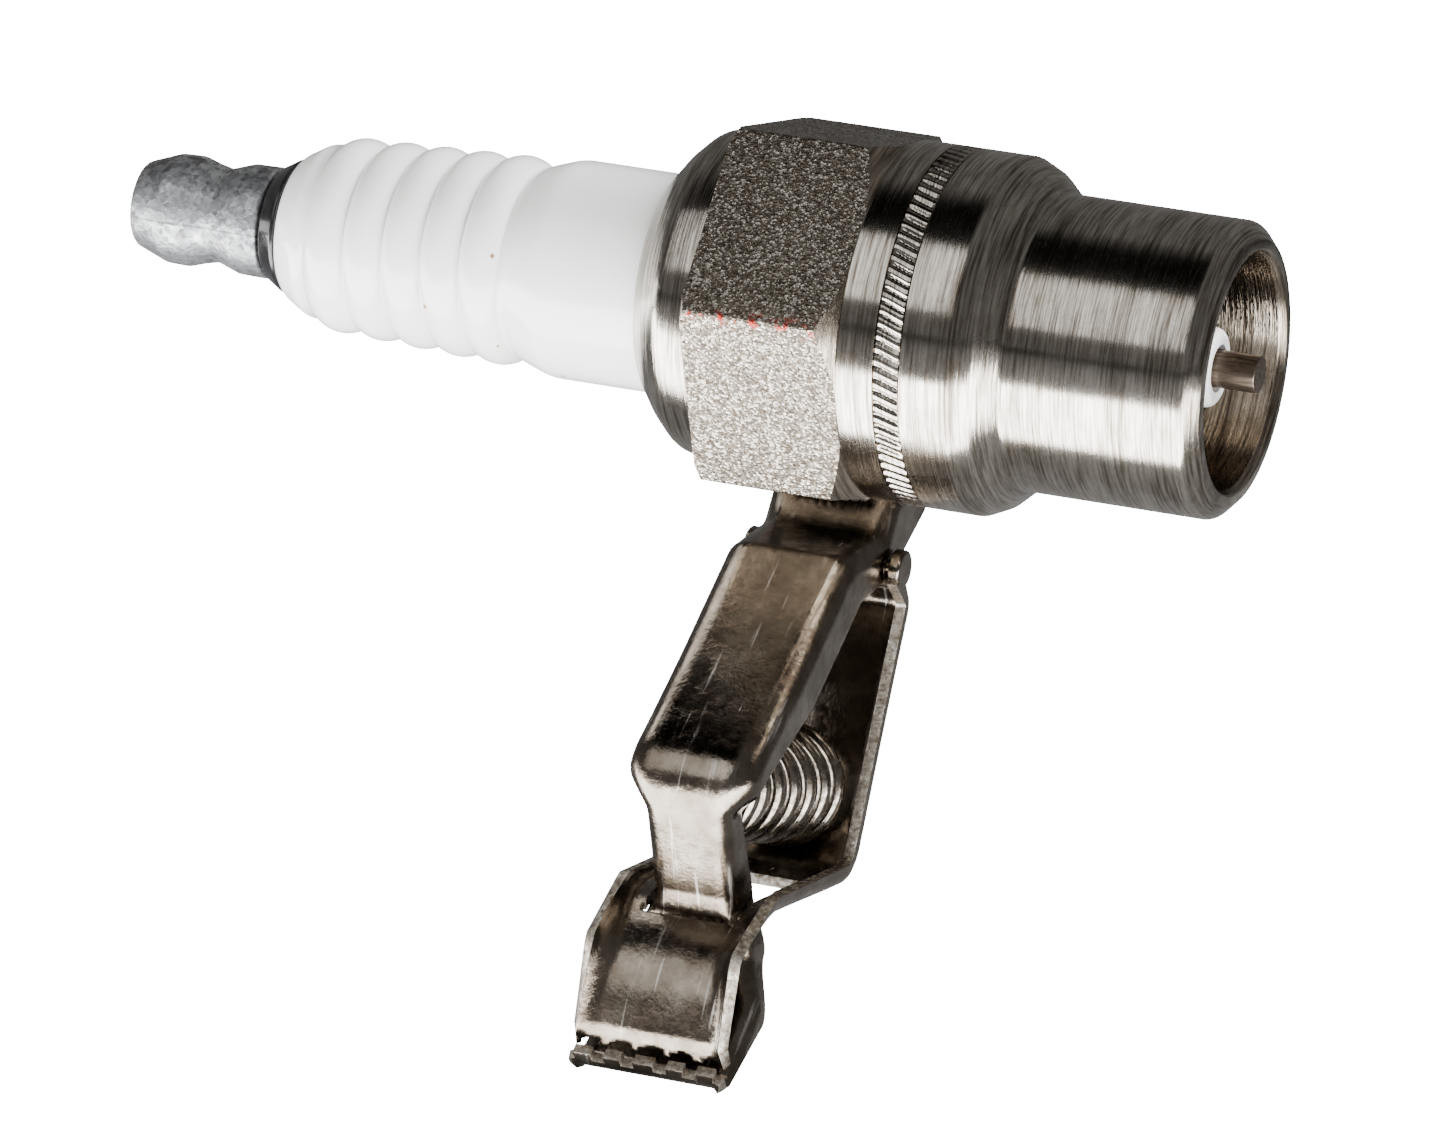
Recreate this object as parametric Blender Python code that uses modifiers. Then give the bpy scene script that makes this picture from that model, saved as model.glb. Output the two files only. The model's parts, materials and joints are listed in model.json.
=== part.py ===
"""Ignition spark tester: a threadless, turned-down plug body with a spring clip welded to its hex.

Frame: X runs along the plug axis from the flat end of the terminal to the open mouth of the
barrel, Z is up, and the clip hangs below the hex.  The origin is the centre of the terminal's
flat end.  Lengths in this file are written in millimetres and scaled by MM where a mesh is made.
"""

import math

import bmesh
import bpy
from mathutils import Matrix, Vector

MM = 0.001
GAP = 0.3            # clearance kept between neighbouring solids

# Plug body, stations along X and radii
TERMINAL_END = 8.6
RING_END = 9.9
INSULATOR_END = 68.0
ELECTRODE_TIP = 70.5
MOUTH = 69.65
LIP_START = 33.3
HEX_START = 39.05
HEX_END = 48.45
HEX_FLATS = 20.64    # 13/16 inch spanner size
COLLAR_RADIUS = 10.56
BARREL_RADIUS = 8.72
BORE_RADIUS = 6.9
NECK_RADIUS = 6.5    # smooth part of the insulator above the shell
CHAMBER_RADIUS = 7.9
CORE_BORE = 2.0      # insulator bore around the stud and the resistor
WIRE_BORE = 1.4      # insulator bore around the centre electrode
ELECTRODE_RADIUS = 1.1
SEAT_STATION = 51.7

# Ribs of the insulator
RIB_COUNT = 5
RIB_PITCH = 2.53
FIRST_RIB = 13.8
FIRST_RIB_RADIUS = 5.84
LAST_RIB_RADIUS = 6.24
RIB_DEPTH = 0.55

# Clip
CLIP_X = 43.7
SHEET = 0.65
BEND_OUTER = 1.1     # outer radius where the edges of a lever are folded
SHORTEST_WALL = 0.25
FLANGE_EASE = 1.8      # a flange turns a corner of the path over twice this length
HINGE_Y = 4.9
HINGE_Z = -15.2
FRONT_HALF_WIDTH = 4.0
REAR_HALF_WIDTH = 4.95
JAW_HALF_WIDTH = 4.8
NECK_HALF_WIDTH = 2.6
EAR_RADIUS = 1.1
EAR_PROUD = 0.03     # the ears are coined slightly thicker than the sheet
PIVOT_RADIUS = 0.45
PIVOT_HOLE = 0.7
TOOTH_COUNT = 5
TOOTH_PITCH = 1.9
TOOTH_WIDTH = 0.95

# Spring
SPRING_WIRE = 0.87
SPRING_START = (-11.0, -27.1)
SPRING_END = (2.65, -28.5)
SPRING_START_RADIUS = 2.55
SPRING_END_RADIUS = 3.25
SPRING_TURNS = 7
CLOSED_PITCH = 1.12

ARC_STEP = math.radians(20)    # widest turn between the points of a fillet
SHELL_SEGMENTS = 48
INSULATOR_SEGMENTS = 32
CORE_SEGMENTS = 16


def clear_scene():
    for obj in list(bpy.data.objects):
        bpy.data.objects.remove(obj)


def new_collection(name, hidden=False):
    collection = bpy.data.collections.new(name)
    bpy.context.scene.collection.children.link(collection)
    collection.hide_render = hidden
    return collection


def material(name, color, roughness, metallic):
    mat = bpy.data.materials.new(name)
    mat.use_nodes = True
    shader = mat.node_tree.nodes["Principled BSDF"]
    shader.inputs["Base Color"].default_value = (*color, 1.0)
    shader.inputs["Roughness"].default_value = roughness
    shader.inputs["Metallic"].default_value = metallic
    return mat


def add_object(name, mesh, collection, mat=None):
    obj = bpy.data.objects.new(name, mesh)
    collection.objects.link(obj)
    if mat:
        mesh.materials.append(mat)
    return obj


def smooth(mesh, angle=35.0):
    mesh.shade_smooth()
    mesh.set_sharp_from_angle(angle=math.radians(angle))


# --- outlines -------------------------------------------------------------------------------

def fillet(before, corner, after, radius, steps):
    """Points of the arc that rounds one corner, tangent to both of its sides.

    steps is the most spans that the arc may have; a slight turn has fewer.
    """
    corner = Vector(corner)
    side_in = (Vector(before) - corner).normalized()
    side_out = (Vector(after) - corner).normalized()
    half = side_in.angle(side_out) / 2
    if radius <= 0 or half > math.radians(89):
        return [tuple(corner)]
    reach = radius / math.tan(half)
    center = corner + (side_in + side_out).normalized() * radius / math.sin(half)
    start = corner + side_in * reach - center
    sweep = math.pi - 2 * half
    steps = min(steps, math.ceil(sweep / ARC_STEP))
    if side_in.x * side_out.y - side_in.y * side_out.x > 0:
        sweep = -sweep
    points = []
    for step in range(steps + 1):
        turned_start = Matrix.Rotation(sweep * step / steps, 2) @ start
        points.append(tuple(center + turned_start))
    return points


def rounded(rows, closed=True, steps=3):
    """Outline through (a, b, radius) rows, with an arc of that radius at each corner."""
    points = []
    last = len(rows) - 1
    for index, (a, b, radius) in enumerate(rows):
        if not closed and index in (0, last):
            points.append((a, b))
            continue
        before = rows[index - 1][:2]
        after = rows[(index + 1) % len(rows)][:2]
        points.extend(fillet(before, (a, b), after, radius, steps))
    return points


# --- turned pieces --------------------------------------------------------------------------

def turned(name, outline, segments, collection, mat=None):
    """Turn an outline of (station, radius) points about the plug axis.

    The outline starts at the mouth side and runs along the outside towards the terminal.
    It is a closed ring unless both of its ends lie on the axis.
    """
    mesh = bpy.data.meshes.new(name)
    bm = bmesh.new()
    verts = [bm.verts.new((radius * MM, 0.0, station * MM)) for station, radius in outline]
    for first, second in zip(verts, verts[1:]):
        bm.edges.new((first, second))
    if outline[0][1] > 0:
        bm.edges.new((verts[-1], verts[0]))
    bm.to_mesh(mesh)
    bm.free()
    obj = add_object(name, mesh, collection, mat)
    obj.rotation_euler = (0.0, math.pi / 2, 0.0)
    screw = obj.modifiers.new("turn", "SCREW")
    screw.steps = segments
    screw.render_steps = segments
    screw.use_merge_vertices = True
    screw.merge_threshold = 0.00001
    screw.use_smooth_shade = True
    return obj


def collar_ring(name, start, end, inner, outer, segments, collection, mat):
    outline = [(end, outer), (start, outer), (start, inner), (end, inner)]
    return turned(name, outline, segments, collection, mat)


def plain_rod(name, start, end, radius, collection, mat):
    chamfer = 0.15
    outline = [(end, 0.0), (end, radius - chamfer), (end - chamfer, radius),
               (start + chamfer, radius), (start, radius - chamfer), (start, 0.0)]
    return turned(name, outline, CORE_SEGMENTS, collection, mat)


def wire_ring(name, station, radius, wire_radius, collection, mat):
    """Soft steel packing ring of round wire."""
    sides = 6
    outline = []
    for side in range(sides):
        angle = 2 * math.pi * side / sides
        outline.append((station + wire_radius * math.cos(angle), radius + wire_radius * math.sin(angle)))
    return turned(name, outline, INSULATOR_SEGMENTS, collection, mat)


def make_terminal(collection, metal, seal):
    nut = rounded([
        (2.1, 0.0, 0.0), (2.1, CORE_BORE, 0.0), (TERMINAL_END, CORE_BORE, 0.0), (TERMINAL_END, 3.35, 0.2), (6.9, 3.32, 0.6),
        (5.25, 2.86, 0.6), (4.2, 3.05, 0.8), (3.3, 3.3, 0.9), (2.1, 3.3, 0.9),
        (0.75, 2.85, 0.6), (0.0, 2.54, 0.25), (0.0, 0.0, 0.0),
    ], closed=False, steps=2)
    turned("terminal_nut", nut, INSULATOR_SEGMENTS, collection, metal)
    ring = [(RING_END - 0.02, 4.18), (TERMINAL_END + 0.05 + GAP, 3.42),
            (TERMINAL_END + 0.05 + GAP, CORE_BORE), (RING_END - 0.02, CORE_BORE)]
    turned("terminal_seal_ring", ring, INSULATOR_SEGMENTS, collection, seal)
    plain_rod("terminal_stud", 2.1 + GAP, 26.0, CORE_BORE - GAP, collection, metal)


def rib_outline():
    """Five swelling ribs, from the shell side towards the terminal."""
    points = []
    for index in reversed(range(RIB_COUNT)):
        crest = FIRST_RIB_RADIUS + (LAST_RIB_RADIUS - FIRST_RIB_RADIUS) * index / (RIB_COUNT - 1)
        center = FIRST_RIB + RIB_PITCH * index
        for part in (0.5, 0.4, 0.2, 0.0, -0.2, -0.4):
            swell = math.sqrt(max(0.0, math.cos(math.pi * part)))
            points.append((center + RIB_PITCH * part, crest - RIB_DEPTH * (1 - swell)))
    return points


def make_insulator(collection, mat):
    start = RING_END + GAP
    nose = [(INSULATOR_END, WIRE_BORE), (INSULATOR_END, 2.1), (67.6, 2.5), (54.6, 4.55),
            (51.0, 4.7), (50.6, 5.0), (50.6, 7.2), (50.2, 7.5), (40.9, 7.5), (40.2, 7.3),
            (39.7, NECK_RADIUS), (27.7, NECK_RADIUS), (27.0, 6.42), (26.2, 6.2)]
    crown = [(12.5, 5.3), (11.96, 5.3), (11.2, 4.98), (10.5, 4.5), (start, 4.28), (start, CORE_BORE)]
    bore = [(45.9, CORE_BORE), (46.4, WIRE_BORE)]
    outline = nose + rib_outline() + crown[1:] + bore
    turned("insulator", outline, INSULATOR_SEGMENTS, collection, mat)


def make_core(collection, steel, glass, carbon, nickel, copper):
    radius = CORE_BORE - GAP
    plain_rod("upper_glass_seal", 26.3, 29.0, radius, collection, glass)
    plain_rod("resistor", 29.3, 38.0, radius, collection, carbon)
    plain_rod("lower_glass_seal", 38.3, 43.2, radius, collection, glass)
    head = 43.5
    sheath_bore = ELECTRODE_RADIUS - GAP
    outline = [(ELECTRODE_TIP, 0.0), (ELECTRODE_TIP, ELECTRODE_RADIUS - 0.08),
               (ELECTRODE_TIP - 0.08, ELECTRODE_RADIUS), (46.2, ELECTRODE_RADIUS),
               (45.5, radius), (head, radius), (head, sheath_bore), (64.0, sheath_bore), (64.0, 0.0)]
    turned("centre_electrode", outline, CORE_SEGMENTS, collection, nickel)
    plain_rod("copper_core", head, 64.0 - GAP, sheath_bore - GAP, collection, copper)


def make_shell(collection, cutters, mat):
    outside = rounded([
        (MOUTH, BORE_RADIUS + 0.15, 0.1), (MOUTH, 7.55, 0.35), (68.7, BARREL_RADIUS, 0.6),
        (57.75, BARREL_RADIUS, 0.5), (56.35, 9.95, 0.9), (55.2, COLLAR_RADIUS, 0.5),
        (48.3, COLLAR_RADIUS, 0.2), (48.3, 10.0, 0.0), (38.6, 10.0, 0.5), (36.4, 9.4, 1.2),
        (34.9, 8.3, 0.8), (LIP_START, NECK_RADIUS + 0.45, 0.2),
        (LIP_START + 0.3, NECK_RADIUS + GAP, 0.0), (34.3, NECK_RADIUS + GAP, 0.0),
        (35.0, CHAMBER_RADIUS, 0.0), (SEAT_STATION, CHAMBER_RADIUS, 0.0),
        (SEAT_STATION, 5.1, 0.0), (55.0, 5.1, 0.0), (57.0, BORE_RADIUS, 0.6),
        (69.2, BORE_RADIUS, 0.0),
    ], steps=2)
    shell = turned("shell", outside, SHELL_SEGMENTS, collection, mat)

    corner = HEX_FLATS / 2 / math.cos(math.radians(30))
    prism = bpy.data.meshes.new("hex_prism")
    bm = bmesh.new()
    bmesh.ops.create_cone(bm, cap_ends=True, segments=6, radius1=corner * MM, radius2=corner * MM,
                          depth=(HEX_END - HEX_START) * MM)
    bmesh.ops.translate(bm, verts=bm.verts, vec=(0.0, 0.0, (HEX_START + HEX_END) / 2 * MM))
    bm.to_mesh(prism)
    bm.free()
    hexagon = add_object("hex_blank", prism, cutters)
    hexagon.rotation_euler = (0.0, math.pi / 2, 0.0)
    chamfer_disc = turned("hex_chamfer", [
        (HEX_END + 0.2, 0.0), (HEX_END + 0.2, 11.15), (HEX_END - 0.35, corner + 0.05),
        (HEX_START + 0.25, corner + 0.05), (HEX_START - 0.2, 11.15), (HEX_START - 0.2, 0.0),
    ], SHELL_SEGMENTS, cutters)
    boolean(hexagon, chamfer_disc, "INTERSECT")
    boolean(hexagon, turned("hex_hollow", [
        (HEX_END + 1, 0.0), (HEX_END + 1, 9.0), (HEX_START - 1, 9.0), (HEX_START - 1, 0.0),
    ], 24, cutters), "DIFFERENCE")
    boolean(shell, hexagon, "UNION")


def make_packing(collection, steel, talc):
    """Rings and powder that hold the insulator in its chamber."""
    middle = (NECK_RADIUS + CHAMBER_RADIUS) / 2
    wire_ring("upper_packing_ring", 35.75, middle, 0.38, collection, steel)
    collar_ring("talc_packing", 36.45, 38.2, NECK_RADIUS + GAP, CHAMBER_RADIUS - GAP,
                INSULATOR_SEGMENTS, collection, talc)
    wire_ring("lower_packing_ring", 38.88, middle, 0.38, collection, steel)
    collar_ring("seat_gasket", 50.9, SEAT_STATION - GAP, 5.4, 7.2, INSULATOR_SEGMENTS,
                collection, steel)


# --- booleans and cutters -------------------------------------------------------------------

def boolean(obj, cutter, operation):
    cutter.hide_render = True
    cutter.display_type = "WIRE"
    modifier = obj.modifiers.new(operation.lower(), "BOOLEAN")
    modifier.object = cutter
    modifier.operation = operation
    modifier.solver = "EXACT"


def box_cutter(name, centers, size, cutters):
    """One cutter mesh with a box of the given size at each centre."""
    mesh = bpy.data.meshes.new(name)
    bm = bmesh.new()
    for center in centers:
        place = Matrix.Translation(Vector(center) * MM)
        scale = Matrix.Diagonal((*(Vector(size) * MM), 1.0))
        bmesh.ops.create_cube(bm, size=1.0, matrix=place @ scale)
    bm.to_mesh(mesh)
    bm.free()
    return add_object(name, mesh, cutters)


def cross_discs(name, radius, spans, cutters, segments=28):
    """Discs on the clip's hinge line, each from one X to another, measured from the clip's middle."""
    mesh = bpy.data.meshes.new(name)
    bm = bmesh.new()
    for start, end in spans:
        turn = Matrix.Rotation(math.pi / 2, 4, "Y")
        place = Matrix.Translation(Vector(((start + end) / 2 + CLIP_X, HINGE_Y, HINGE_Z)) * MM)
        bmesh.ops.create_cone(bm, cap_ends=True, segments=segments, radius1=radius * MM,
                              radius2=radius * MM, depth=abs(end - start) * MM, matrix=place @ turn)
    bm.to_mesh(mesh)
    bm.free()
    return add_object(name, mesh, cutters)


# --- folded sheet levers --------------------------------------------------------------------

def ease(amount):
    return amount * amount * (3 - 2 * amount)


def point_along(points, run, distance):
    """Point at a distance along a path; run holds the distance of each of its points."""
    distance = min(max(distance, 0.0), run[-1])
    for index in range(1, len(points)):
        if distance <= run[index]:
            share = (distance - run[index - 1]) / (run[index] - run[index - 1])
            return points[index - 1].lerp(points[index], share)
    return points[-1]


def stations_along(rows, spacing=2.0, arc_steps=4):
    """Stations (y, z, direction, half width, flange) along a path of rounded corners.

    Each row is (y, z, bend radius, half width, flange depth); widths ease from row to row.
    """
    corners = [Vector(row[:2]) for row in rows]
    points = []
    for index, row in enumerate(rows):
        if index in (0, len(rows) - 1):
            points.append(Vector(row[:2]))
        else:
            arc = fillet(corners[index - 1], corners[index], corners[index + 1], row[2], arc_steps)
            points.extend(Vector(point) for point in arc)
    filled = [points[0]]
    for point in points[1:]:
        pieces = max(1, math.ceil((point - filled[-1]).length / spacing))
        start = filled[-1]
        for piece in range(1, pieces + 1):
            filled.append(start.lerp(point, piece / pieces))
    run = [0.0]
    for first, second in zip(filled, filled[1:]):
        run.append(run[-1] + (second - first).length)
    stations = []
    for index, point in enumerate(filled):
        ahead = point_along(filled, run, run[index] + FLANGE_EASE)
        behind = point_along(filled, run, run[index] - FLANGE_EASE)
        direction = (ahead - behind).normalized()
        nearest = 0
        closest = None
        for leg, (first, second) in enumerate(zip(corners, corners[1:])):
            along = (point - first).dot(second - first) / (second - first).length_squared
            along = min(1.0, max(0.0, along))
            distance = (first.lerp(second, along) - point).length
            if closest is None or distance < closest - 1e-9:
                closest = distance
                nearest = leg + along
        leg = min(int(nearest), len(rows) - 2)
        amount = ease(nearest - leg)
        width = rows[leg][3] + (rows[leg + 1][3] - rows[leg][3]) * amount
        depth = rows[leg][4] + (rows[leg + 1][4] - rows[leg][4]) * amount
        stations.append((point, direction, width, depth))
    return stations


def bend_angle(depth):
    """Angle that the edge of the sheet is folded through to reach a flange depth."""
    low, high = 0.0, math.pi / 2
    if depth >= BEND_OUTER + SHORTEST_WALL:
        return high
    while high - low > 1e-5:
        angle = (low + high) / 2
        reached = BEND_OUTER * (1 - math.cos(angle)) + SHORTEST_WALL * math.sin(angle)
        low, high = (angle, high) if reached < depth else (low, angle)
    return angle


def channel_section(across, half_width, depth):
    """Place across (-1 to 1) on a channel section: offset from the middle, and depth below it."""
    fold = bend_angle(depth)
    wall = max(SHORTEST_WALL, depth - BEND_OUTER)
    flat = half_width - BEND_OUTER * math.sin(fold) - wall * math.cos(fold)
    share = abs(across)
    if share <= 0.4:
        return math.copysign(flat * share / 0.4, across), 0.0
    angle = fold * min(1.0, (share - 0.4) / 0.35)
    along_wall = wall * max(0.0, (share - 0.75) / 0.25)
    offset = flat + BEND_OUTER * math.sin(angle) + along_wall * math.cos(fold)
    below = BEND_OUTER * (1 - math.cos(angle)) + along_wall * math.sin(fold)
    return math.copysign(offset, across), below


def sheet_lever(name, rows, flange_side, collection, mat):
    """Fold a flat blank along its path, with flanges turned to one side of it.

    flange_side is 1 for flanges on the left of the path, as seen with Y right and Z up.
    """
    stations = stations_along(rows)
    half = [0.2, 0.4, 0.52, 0.64, 0.75, 1.0]
    shares = [-share for share in reversed(half)] + [0.0] + half
    mesh = bpy.data.meshes.new(name)
    bm = bmesh.new()
    bmesh.ops.create_grid(bm, x_segments=len(shares) - 1, y_segments=len(stations) - 1, size=1.0)
    for vert in bm.verts:
        column = round((vert.co.x + 1) / 2 * (len(shares) - 1))
        row = round((vert.co.y + 1) / 2 * (len(stations) - 1))
        point, direction, half_width, depth = stations[row]
        offset, below = channel_section(shares[column], half_width, depth)
        normal = Vector((-direction.y, direction.x)) * flange_side
        place = point + normal * below
        vert.co = Vector((offset + CLIP_X, place.x, place.y)) * MM
    bmesh.ops.recalc_face_normals(bm, faces=bm.faces)
    if face_points_along(bm, stations, flange_side):
        bmesh.ops.reverse_faces(bm, faces=bm.faces)
    bm.to_mesh(mesh)
    bm.free()
    smooth(mesh, 60)
    obj = add_object(name, mesh, collection, mat)
    solid = obj.modifiers.new("sheet", "SOLIDIFY")
    solid.thickness = SHEET * MM
    solid.offset = -1.0
    solid.use_even_offset = True
    return obj


def face_points_along(bm, stations, flange_side):
    """True if the folded sheet's faces point to its flange side."""
    point, direction, _, _ = stations[len(stations) // 4]
    flange = Vector((0.0, -direction.y, direction.x)) * flange_side
    target = Vector((CLIP_X, point.x, point.y)) * MM
    nearest = min(bm.faces, key=lambda face: (face.calc_center_median() - target).length)
    return nearest.normal.dot(flange) > 0


def tooth_centers(y, z):
    middle = (TOOTH_COUNT - 1) / 2
    return [(CLIP_X + (index - middle) * TOOTH_PITCH, y, z) for index in range(TOOTH_COUNT)]


def gap_centers(y, z):
    middle = TOOTH_COUNT / 2
    return [(CLIP_X + (index - middle) * TOOTH_PITCH, y, z) for index in range(TOOTH_COUNT + 1)]


def make_front_lever(collection, cutters, mat):
    """Lever welded under the hex; its neck passes through the rear lever to the rear jaw."""
    rows = [
        (9.6, -10.65, 0.0, FRONT_HALF_WIDTH, 1.4),
        (5.0, -10.65, 1.0, FRONT_HALF_WIDTH, 4.0),
        (3.5, -13.1, 1.8, FRONT_HALF_WIDTH, 3.2),
        (-1.9, -14.1, 1.2, FRONT_HALF_WIDTH, 3.4),
        (-8.0, -19.6, 0.0, FRONT_HALF_WIDTH, 3.8),
        (-15.4, -26.0, 3.2, FRONT_HALF_WIDTH, 2.8),
        (-14.0, -28.95, 0.0, NECK_HALF_WIDTH, 2.4),
        (-11.5, -33.4, 1.2, NECK_HALF_WIDTH, 3.0),
        (-10.6, -36.6, 2.0, 3.6, 2.6),
        (-11.5, -39.7, 1.8, 4.7, 1.9),
        (-15.2, -43.5, 0.8, JAW_HALF_WIDTH, 0.3),
        (-16.1, -42.45, 0.0, JAW_HALF_WIDTH, 0.1),
    ]
    lever = sheet_lever("clip_front_lever", rows, 1, collection, mat)
    inner = FRONT_HALF_WIDTH - SHEET - EAR_PROUD
    outer = FRONT_HALF_WIDTH + EAR_PROUD
    spans = [(-outer, -inner), (inner, outer)]
    boolean(lever, cross_discs("front_ears", EAR_RADIUS, spans, cutters), "UNION")
    boolean(lever, cross_discs("pivot_hole", PIVOT_HOLE, [(-6.0, 6.0)], cutters), "DIFFERENCE")
    gaps = gap_centers(-16.9, -42.45)
    boolean(lever, box_cutter("tooth_gaps", gaps, (TOOTH_PITCH - TOOTH_WIDTH, 2.0, 1.3), cutters),
            "DIFFERENCE")
    return lever


def make_rear_lever(collection, cutters, mat):
    """Lever with the window and the front jaw; it swings on the front lever's ears."""
    rows = [
        (5.3, -14.8, 0.0, REAR_HALF_WIDTH, 2.0),
        (7.35, -17.3, 1.5, REAR_HALF_WIDTH, 1.6),
        (2.7, -33.7, 2.4, REAR_HALF_WIDTH, 1.5),
        (-10.2, -34.4, 2.5, REAR_HALF_WIDTH, 1.4),
        (-14.0, -36.9, 2.0, JAW_HALF_WIDTH, 1.4),
        (-15.1, -41.2, 1.0, JAW_HALF_WIDTH, 0.5),
        (-14.8, -42.1, 0.0, JAW_HALF_WIDTH, 0.1),
    ]
    lever = sheet_lever("clip_rear_lever", rows, -1, collection, mat)
    inner = REAR_HALF_WIDTH - SHEET - EAR_PROUD
    outer = REAR_HALF_WIDTH + EAR_PROUD
    spans = [(-outer, -inner), (inner, outer)]
    boolean(lever, cross_discs("rear_ears", EAR_RADIUS - 0.3, spans, cutters), "UNION")
    relief = [(CLIP_X, 6.0, -14.25)]
    boolean(lever, box_cutter("hinge_relief", relief, (8.4, 6.0, 4.0), cutters), "DIFFERENCE")
    boss_end = FRONT_HALF_WIDTH - SHEET + 0.05
    bosses = [(-inner - 0.3, -boss_end), (boss_end, inner + 0.3)]
    boolean(lever, cross_discs("pivot_bosses", PIVOT_RADIUS, bosses, cutters, 20), "UNION")
    boolean(lever, box_cutter("neck_window", [(CLIP_X, -6.9, -34.0)], (7.3, 9.4, 5.0), cutters),
            "DIFFERENCE")
    notches = tooth_centers(-15.2, -42.3)
    boolean(lever, box_cutter("lip_notches", notches, (TOOTH_WIDTH + 0.4, 3.0, 0.9), cutters),
            "DIFFERENCE")
    return lever


def set_origin(obj, origin):
    """Move an object's origin without moving its shape."""
    obj.data.transform(Matrix.Translation(-Vector(origin)))
    obj.location = origin


def make_spring(collection, mat):
    """Compression spring between the levers, wound with one closed turn at each end."""
    start = Vector((CLIP_X, *SPRING_START)) * MM
    end = Vector((CLIP_X, *SPRING_END)) * MM
    axis = end - start
    frame = axis.to_track_quat("Z", "X").to_matrix()
    length = axis.length / MM
    open_pitch = (length - 2 * CLOSED_PITCH) / (SPRING_TURNS - 2)
    steps = 13
    curve = bpy.data.curves.new("clip_spring", "CURVE")
    curve.dimensions = "3D"
    curve.bevel_depth = SPRING_WIRE / 2 * MM
    curve.bevel_resolution = 2
    curve.use_fill_caps = True
    spline = curve.splines.new("POLY")
    count = SPRING_TURNS * steps + 1
    spline.points.add(count - 1)
    for index in range(count):
        turn = index / steps
        if turn < 1:
            along = turn * CLOSED_PITCH
        elif turn > SPRING_TURNS - 1:
            along = length - (SPRING_TURNS - turn) * CLOSED_PITCH
        else:
            along = CLOSED_PITCH + (turn - 1) * open_pitch
        radius = SPRING_START_RADIUS + (SPRING_END_RADIUS - SPRING_START_RADIUS) * along / length
        angle = 2 * math.pi * turn
        local = Vector((radius * math.cos(angle), radius * math.sin(angle), along)) * MM
        spline.points[index].co = (*(frame @ local + start), 1.0)
    obj = bpy.data.objects.new("clip_spring", curve)
    collection.objects.link(obj)
    curve.materials.append(mat)
    return obj


def make_welds(collection, mat):
    """Weld beads that hold the front lever's tail under the hex."""
    places = {
        "clip_weld_left": ((CLIP_X - FRONT_HALF_WIDTH - 0.3, 5.5, -11.05), "Y", 2.0),
        "clip_weld_right": ((CLIP_X + FRONT_HALF_WIDTH + 0.3, 5.5, -11.05), "Y", 2.0),
        "clip_weld_front": ((CLIP_X, 3.7, -11.05), "X", 6.0),
    }
    radius = 0.4
    for name, (center, axis, length) in places.items():
        mesh = bpy.data.meshes.new(name)
        bm = bmesh.new()
        bmesh.ops.create_uvsphere(bm, u_segments=16, v_segments=10, radius=radius * MM)
        half = (length / 2 - radius) * MM
        for vert in bm.verts:
            if abs(vert.co.z) > 1e-7:
                vert.co.z += math.copysign(half, vert.co.z)
        tilt = Matrix.Rotation(math.pi / 2, 4, "X" if axis == "Y" else "Y")
        place = Matrix.Translation(Vector(center) * MM)
        bmesh.ops.transform(bm, matrix=place @ tilt, verts=bm.verts)
        bm.to_mesh(mesh)
        bm.free()
        smooth(mesh)
        add_object(name, mesh, collection, mat)


def main():
    clear_scene()
    parts = new_collection("ignition_spark_tester")
    cutters = new_collection("cutters", hidden=True)

    zinc = material("zinc_alloy", (0.42, 0.43, 0.44), 0.45, 1.0)
    black = material("black_seal", (0.01, 0.01, 0.012), 0.25, 0.0)
    glaze = material("white_glaze", (0.86, 0.86, 0.85), 0.12, 0.0)
    nickel_plate = material("nickel_plated_steel", (0.47, 0.44, 0.40), 0.28, 1.0)
    nickel = material("electrode_nickel", (0.38, 0.34, 0.30), 0.4, 1.0)
    copper = material("copper", (0.72, 0.36, 0.22), 0.35, 1.0)
    glass = material("sealing_glass", (0.12, 0.10, 0.09), 0.3, 0.2)
    carbon = material("resistor_glass", (0.05, 0.05, 0.05), 0.6, 0.0)
    talc = material("talc", (0.75, 0.73, 0.68), 0.9, 0.0)
    soft_steel = material("soft_steel", (0.35, 0.33, 0.30), 0.5, 1.0)
    spring_steel = material("spring_steel", (0.62, 0.60, 0.56), 0.2, 1.0)

    make_terminal(parts, zinc, black)
    make_insulator(parts, glaze)
    make_core(parts, soft_steel, glass, carbon, nickel, copper)
    make_shell(parts, cutters, nickel_plate)
    make_packing(parts, soft_steel, talc)

    make_front_lever(parts, cutters, nickel_plate)
    rear_lever = make_rear_lever(parts, cutters, nickel_plate)
    set_origin(rear_lever, Vector((CLIP_X, HINGE_Y, HINGE_Z)) * MM)
    make_spring(parts, spring_steel)
    make_welds(parts, nickel_plate)


main()
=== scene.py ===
# %% [markdown]
# # An ignition spark tester, dressed for its picture
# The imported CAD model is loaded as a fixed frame.  It has every solid in its true place, but its round
# pieces have few sides and its metals are plain.  This lesson makes a fine version of each piece that
# shows, inside the box of the CAD model, and gives every piece a finish of its own.  A few details are
# drawn a little apart from their solids: the rolled lip of the shell starts 0.9 mm later, the window is
# narrower, the teeth, rear ears and weld beads are larger, and the spring is slightly wider.

# %% Load the frame
import json
import math

import bmesh
import bpy
from mathutils import Matrix, Vector


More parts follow.
